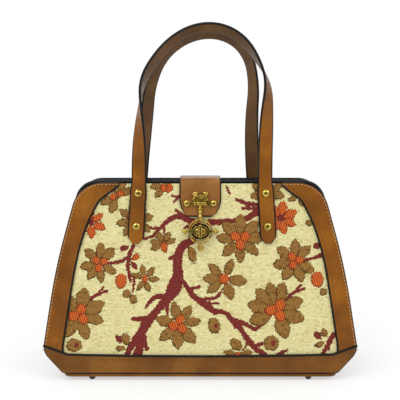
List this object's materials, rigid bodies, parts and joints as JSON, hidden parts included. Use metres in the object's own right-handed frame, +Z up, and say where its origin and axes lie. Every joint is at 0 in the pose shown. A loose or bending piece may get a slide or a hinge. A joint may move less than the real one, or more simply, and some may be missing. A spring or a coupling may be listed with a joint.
{
  "type": "carpet bag",
  "caption": "Structured carpet bag: leaning tapestry panels with leather trims and base, riveted strap handles, and a leather flap closed by a hinged brass hasp over a turn button.",
  "frame": {"origin": "on the floor under the middle of the bag, level with the bottoms of its feet", "axes": "+X to the right seen from the front, -Y out of the front with the clasp, +Z up"},
  "size_m": [0.3576, 0.1192, 0.4064],
  "materials": {
    "stiff_board": "matte",
    "cream_tapestry": "woven",
    "brown_weft": "woven",
    "orange_weft": "woven",
    "burgundy_weft": "woven",
    "tan_leather": "semi-gloss",
    "black_leathercloth": "semi-gloss",
    "lining_cloth": "matte",
    "dark_sole_leather": "satin",
    "brass": "polished"
  },
  "bodies": {
    "bag": {"front_board": "stiff_board", "back_board": "stiff_board", "front_tapestry": "cream_tapestry", "back_tapestry": "cream_tapestry", "front_petals": "brown_weft", "back_petals": "brown_weft", "front_blossom_centres": "orange_weft", "back_blossom_centres": "orange_weft", "front_branches": "burgundy_weft", "back_branches": "burgundy_weft", "front_left_trim": "tan_leather", "front_right_trim": "tan_leather", "back_left_trim": "tan_leather", "back_right_trim": "tan_leather", "front_base_band": "tan_leather", "back_base_band": "tan_leather", "front_facing": "black_leathercloth", "back_facing": "black_leathercloth", "front_binding": "black_leathercloth", "back_binding": "black_leathercloth", "left_gusset": "tan_leather", "right_gusset": "tan_leather", "lining": "lining_cloth", "sole": "dark_sole_leather", "base_board": "stiff_board", "feet": "brass", "front_handle": "tan_leather", "back_handle": "tan_leather", "front_handle_rivets": "brass", "back_handle_rivets": "brass", "closure_flap": "tan_leather", "flap_rivets": "brass", "clasp_plate": "brass", "clasp_rivets": "brass", "hinge_pin": "brass", "lock_base": "brass", "lock_rivets": "brass"},
    "hasp": {"hasp": "brass"},
    "button": {"turn_button": "brass", "button_washer": "brass"}
  },
  "joints": [
    {"name": "hasp_swing", "type": "hinge", "parent": "bag", "child": "hasp", "pos_m": [0, -0.0363, 0.20083], "axis": [-1, 0, 0], "range_deg": [0, 120]},
    {"name": "button_turn", "type": "hinge", "parent": "bag", "child": "button", "pos_m": [0, -0.04075, 0.16914], "axis": [0, -0.9903, 0.1392], "range_deg": [0, 90]}
  ]
}
